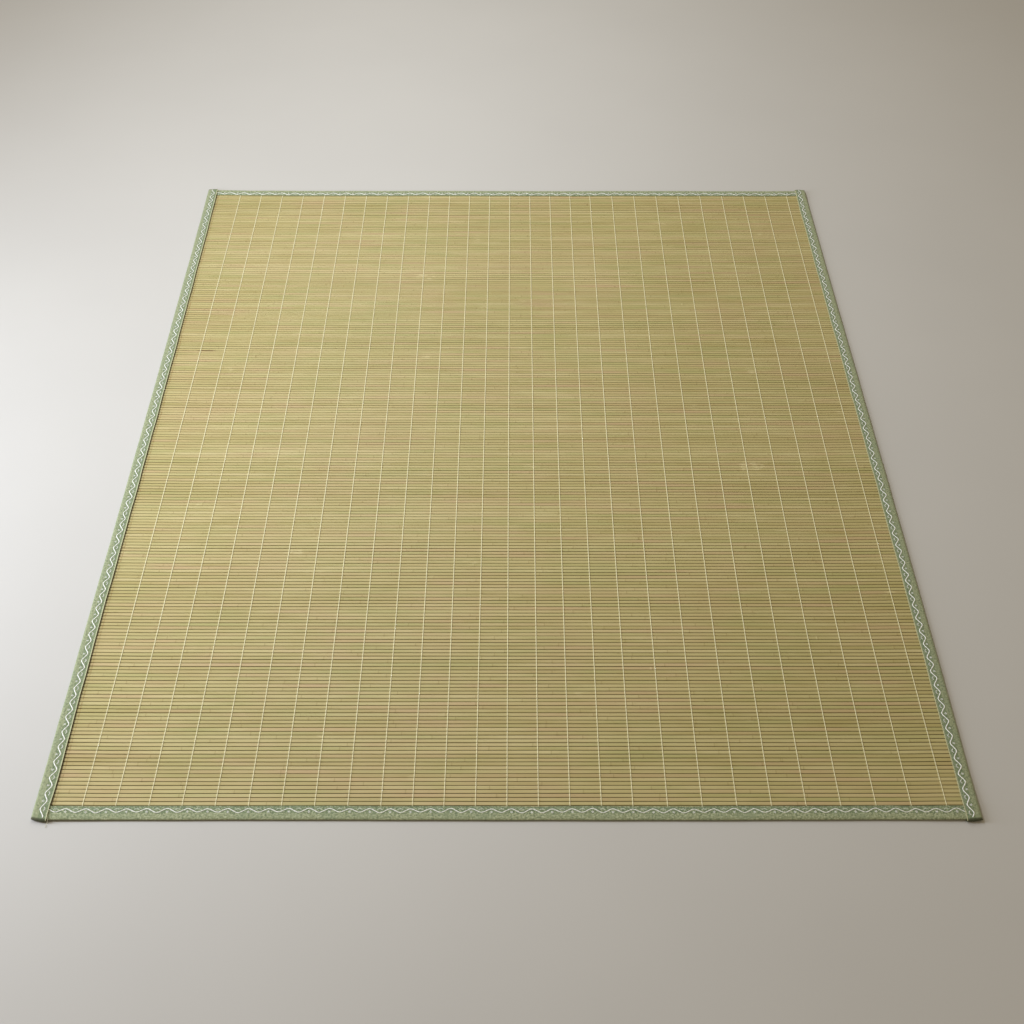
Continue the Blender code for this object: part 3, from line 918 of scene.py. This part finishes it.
def lens_faces(count):
    """Triangles of the domed leaves: from the top point to the rim, and from the bottom point to it."""
    first = np.arange(count)[:, None] * (LENS_SIDES + 2)
    here = first + np.arange(LENS_SIDES)
    there = first + (np.arange(LENS_SIDES) + 1) % LENS_SIDES
    top = np.broadcast_to(first + LENS_SIDES, here.shape)
    base = np.broadcast_to(first + LENS_SIDES + 1, here.shape)
    upper = np.stack([here, there, top], axis=-1).reshape(-1, 3)
    lower = np.stack([there, here, base], axis=-1).reshape(-1, 3)
    return np.concatenate([upper, lower])


def wave_places(tape, settings, at_crest):
    """Places along a tape where the vine comes nearest to the lip, or is farthest from it."""
    reach = (SIDE_VISIBLE if tape.axis == 1 else END_VISIBLE) - 3 * MM
    turn = 0.0 if at_crest else math.pi
    count = math.ceil(2 * reach / settings.vine_period) + 2
    waves = np.arange(-count, count)
    s = (2 * math.pi * waves + turn - tape.phase) * settings.vine_period / (2 * math.pi)
    return s[np.abs(s) < reach]


def blossom_lenses(tape, settings):
    """A blossom outside each crest of the vine: five petals round a small centre."""
    s = wave_places(tape, settings, True)
    d = tape.vine_inset + 0.75 * settings.vine_swing
    parts = [lenses(tape, s, np.full_like(s, d), 1.1 * MM, 1.1 * MM, np.zeros_like(s), 0.42 * MM)]
    for petal in range(5):
        angle = 2 * math.pi * petal / 5 + 0.6 * np.sin(37.0 * s)
        parts.append(lenses(tape, s + 1.5 * MM * np.cos(angle), d + 1.5 * MM * np.sin(angle),
                            2.1 * MM, 1.25 * MM, angle, 0.30 * MM))
    return parts


def spray_lenses(tape, settings):
    """A dim spray of leaves inside each trough of the vine: leaves fanned out from a low point."""
    s = wave_places(tape, settings, False)
    d = tape.vine_inset - 0.75 * settings.vine_swing
    parts = []
    for lean, reach in ((-90, 1.6), (-150, 2.1), (-30, 2.1), (172, 3.3), (8, 3.3)):
        angle = np.radians(lean + 8 * np.sin(53.0 * s))
        parts.append(lenses(tape, s + reach * MM * np.cos(angle), d + reach * MM * np.sin(angle) * 0.8,
                            2.9 * MM, 1.15 * MM, angle, 0.22 * MM))
    return parts


def stitch_points(tape, settings):
    """Stitches along a tape's seam: each is two square rings between two points, half sunk in the cloth."""
    reach = 0.968 if tape.axis == 1 else 0.726
    s = np.arange(-reach, reach, settings.stitch_spacing)
    half = 1.3 * MM
    d = SEAM_INSET + 0.06 * MM * np.sin(211.0 * s)
    rings = []
    for along, size in ((-1.0, 0.15), (-0.6, 1.0), (0.6, 1.0), (1.0, 0.15)):
        for across, up in ((1, 0), (0, 1), (-1, 0), (0, -1))[::tape.hand]:
            height = (0.08 + 0.26 * size * up) * MM - (1 - size) * 0.1 * MM
            rings.append(tape.place(s + along * half, d + 0.28 * MM * size * across, height))
    points = np.stack(rings, axis=1)
    return points.reshape(len(s), 4, 4, 3)


def loose_thread_points(tape):
    """The loose sewing thread at the left tape's near end: a five-sided ring carried along a falling curve.

    For t from 0 to 1 it goes along the tape by t, swings by a sine, and falls from the lip to the floor.
    """
    t = np.linspace(0.0, 1.0, 16)
    s = -(0.9610 + 0.0225 * t)
    d = 0.9 * MM - 2.6 * MM * np.sin(2.3 * t) + 1.2 * MM * np.sin(9.0 * t) * t
    top = tape.top(np.full_like(t, -0.9610), np.full_like(t, 0.9 * MM)) + 0.3 * MM
    z = top + (0.45 * MM - top) * smooth((t - 0.35) / 0.6)
    turn = 2 * math.pi * np.arange(YARN_SIDES)[:, None] / YARN_SIDES * -tape.hand
    lip = tape.lip(np.full_like(t, -0.9610))
    rings = tape.world(s, lip + d + 0.38 * MM * np.cos(turn), z + 0.38 * MM * np.sin(turn))
    return np.swapaxes(rings, 0, 1)[None]


class MAT_OT_weave_vine(bpy.types.Operator):
    """Weave the vine, its blossoms and its leaf sprays on the tapes."""

    bl_idname = "mat.weave_vine"
    bl_label = "Weave vine"

    def execute(self, context):
        settings = context.scene.mat_tapes
        tapes = all_tapes(context.scene)
        white = yarn_material("white_weft_floats", settings.vine, 0.42, 0.92, 0.6)
        dim = yarn_material("pale_sage_weft_floats", settings.spray, 0.6, 0.88)
        for tape in tapes:
            points = vine_strand(tape, settings)
            quads, caps = strand_faces(*points.shape[:3])
            name = tape.name.replace("binding", "vine")
            vine = build_mesh(name, points.reshape(-1, 3), quads, caps, white)
            settle(vine, [])
        makers = (
            ("blossoms", blossom_lenses, white, (0, 1)),
            ("bright_sprays", spray_lenses, white, (1,)),
            ("dim_sprays", spray_lenses, dim, (0,)),
        )
        for name, maker, material, axes in makers:
            members = [tape for tape in tapes if tape.axis in axes]
            points = np.concatenate([part for tape in members for part in maker(tape, settings)])
            no_quads = np.empty((0, 4), int)
            piece = build_mesh(name, points.reshape(-1, 3), no_quads, lens_faces(len(points)), material)
            settle(piece, [])
        return {"FINISHED"}


class MAT_OT_sew_stitches(bpy.types.Operator):
    """Sew the stitches along the tapes' seams."""

    bl_idname = "mat.sew_stitches"
    bl_label = "Sew stitches"

    def execute(self, context):
        settings = context.scene.mat_threads
        tapes = all_tapes(context.scene)
        seams = (("side_stitches", 1, settings.side_stitch), ("end_stitches", 0, settings.end_stitch))
        for name, axis, colour in seams:
            points = np.concatenate([stitch_points(tape, settings) for tape in tapes if tape.axis == axis])
            quads, caps = strand_faces(*points.shape[:3])
            material = yarn_material(name.replace("stitches", "sewing_thread"), colour)
            piece = build_mesh(name, points.reshape(-1, 3), quads, caps, material)
            settle(piece, [])
        points = loose_thread_points(tapes[0])
        quads, caps = strand_faces(*points.shape[:3])
        loose = build_mesh("loose_thread", points.reshape(-1, 3), quads, caps,
                           yarn_material("loose_sewing_thread", settings.side_stitch))
        settle(loose, [])
        return {"FINISHED"}


# Stage


CAMERA_PLACE = (-0.0041, -2.4674, 1.9805)
CAMERA_TURN = (48.373, -0.180, -0.163)
CAMERA_LENS = 54.35


def floor_material(colour):
    """Plain smooth plaster floor: matt, with a faint cloudiness."""
    material, tree, shader = new_material("plain_plaster", 0.85)
    place = add_node(tree, "ShaderNodeTexCoord").outputs["Object"]
    cloud = add_node(tree, "ShaderNodeTexNoise", {"Vector": place, "Scale": 2.2, "Detail": 3.0})
    light = linear(colour)
    dark = tuple(0.93 * part for part in light[:3]) + (1.0,)
    blend = colour_tools(tree)[0]
    tree.links.new(blend(cloud.outputs["Fac"], light, dark), shader.inputs["Base Color"])
    return material


def add_area_light(name, place, target, size, power, colour):
    """A soft rectangular light that faces a point."""
    light = bpy.data.lights.new(name, "AREA")
    light.shape = "RECTANGLE"
    light.size, light.size_y = size
    light.energy = power
    light.color = linear(colour)[:3]
    lamp = bpy.data.objects.new(name, light)
    bpy.context.scene.collection.objects.link(lamp)
    lamp.location = place
    aim = np.array(target) - np.array(place)
    flat = math.hypot(aim[0], aim[1])
    lamp.rotation_euler = (math.atan2(flat, -aim[2]), 0.0, math.atan2(-aim[0], aim[1]))
    lamp.visible_camera = False
    return lamp


class MAT_OT_set_stage(bpy.types.Operator):
    """Add the plain floor, the soft lights and the camera."""

    bl_idname = "mat.set_stage"
    bl_label = "Set stage"

    def execute(self, context):
        settings = context.scene.mat_stage
        scene = context.scene
        side = 9.0
        corners = np.array([[-side, -side, 0], [side, -side, 0], [side, side, 0], [-side, side, 0]])
        material = floor_material(settings.floor)
        floor = build_mesh("floor", corners, np.array([[0, 1, 2, 3]]), material=material)
        add_area_light("window", (-2.48, -0.57, 1.03), (0.0, 0.0, 0.0), (0.5, 1.76),
                       settings.window_power, "E7F0FF")
        add_area_light("fill", (-0.63, 1.28, 1.79), (0.0, 1.21, 0.0), (3.5, 0.5),
                       settings.fill_power, "F3F9FF")
        world = bpy.data.worlds.new("studio")
        world.use_nodes = True
        room = world.node_tree.nodes["Background"]
        room.inputs["Color"].default_value = linear("FFECC8")
        room.inputs["Strength"].default_value = settings.room
        scene.world = world
        scene.view_settings.view_transform = "Standard"
        camera = bpy.data.cameras.new("camera")
        camera.lens = CAMERA_LENS
        camera.sensor_width = 36.0
        eye = bpy.data.objects.new("camera", camera)
        scene.collection.objects.link(eye)
        eye.location = CAMERA_PLACE
        eye.rotation_euler = tuple(math.radians(angle) for angle in CAMERA_TURN)
        scene.camera = eye
        return {"FINISHED"}


# Panel and registration


class MAT_PT_pieces(bpy.types.Panel):
    """The mat's pieces, in the order of making."""

    bl_idname = "MAT_PT_pieces"
    bl_label = "Bamboo slat mat"
    bl_space_type = "VIEW_3D"
    bl_region_type = "UI"
    bl_category = "Mat"

    def draw(self, context):
        for operator in OPERATORS:
            self.layout.operator(operator.bl_idname)


SETTINGS = {
    "mat_slats": MatSlatSettings,
    "mat_threads": MatThreadSettings,
    "mat_tapes": MatTapeSettings,
    "mat_stage": MatStageSettings,
}
OPERATORS = (
    MAT_OT_set_stage,
    MAT_OT_lay_slats,
    MAT_OT_weave_threads,
    MAT_OT_fold_tapes,
    MAT_OT_weave_vine,
    MAT_OT_sew_stitches,
)


def register():
    """Register the settings, the operators and the panel."""
    for name, settings in SETTINGS.items():
        bpy.utils.register_class(settings)
        setattr(bpy.types.Scene, name, bpy.props.PointerProperty(type=settings))
    for cls in (*OPERATORS, MAT_PT_pieces):
        bpy.utils.register_class(cls)


def unregister():
    """Remove them again."""
    for cls in (MAT_PT_pieces, *reversed(OPERATORS)):
        bpy.utils.unregister_class(cls)
    for name, settings in SETTINGS.items():
        delattr(bpy.types.Scene, name)
        bpy.utils.unregister_class(settings)


def main():
    register()
    bpy.ops.mat.set_stage()
    bpy.ops.mat.lay_slats()
    bpy.ops.mat.weave_threads()
    bpy.ops.mat.fold_tapes()
    bpy.ops.mat.weave_vine()
    bpy.ops.mat.sew_stitches()


if __name__ == "__main__":
    main()
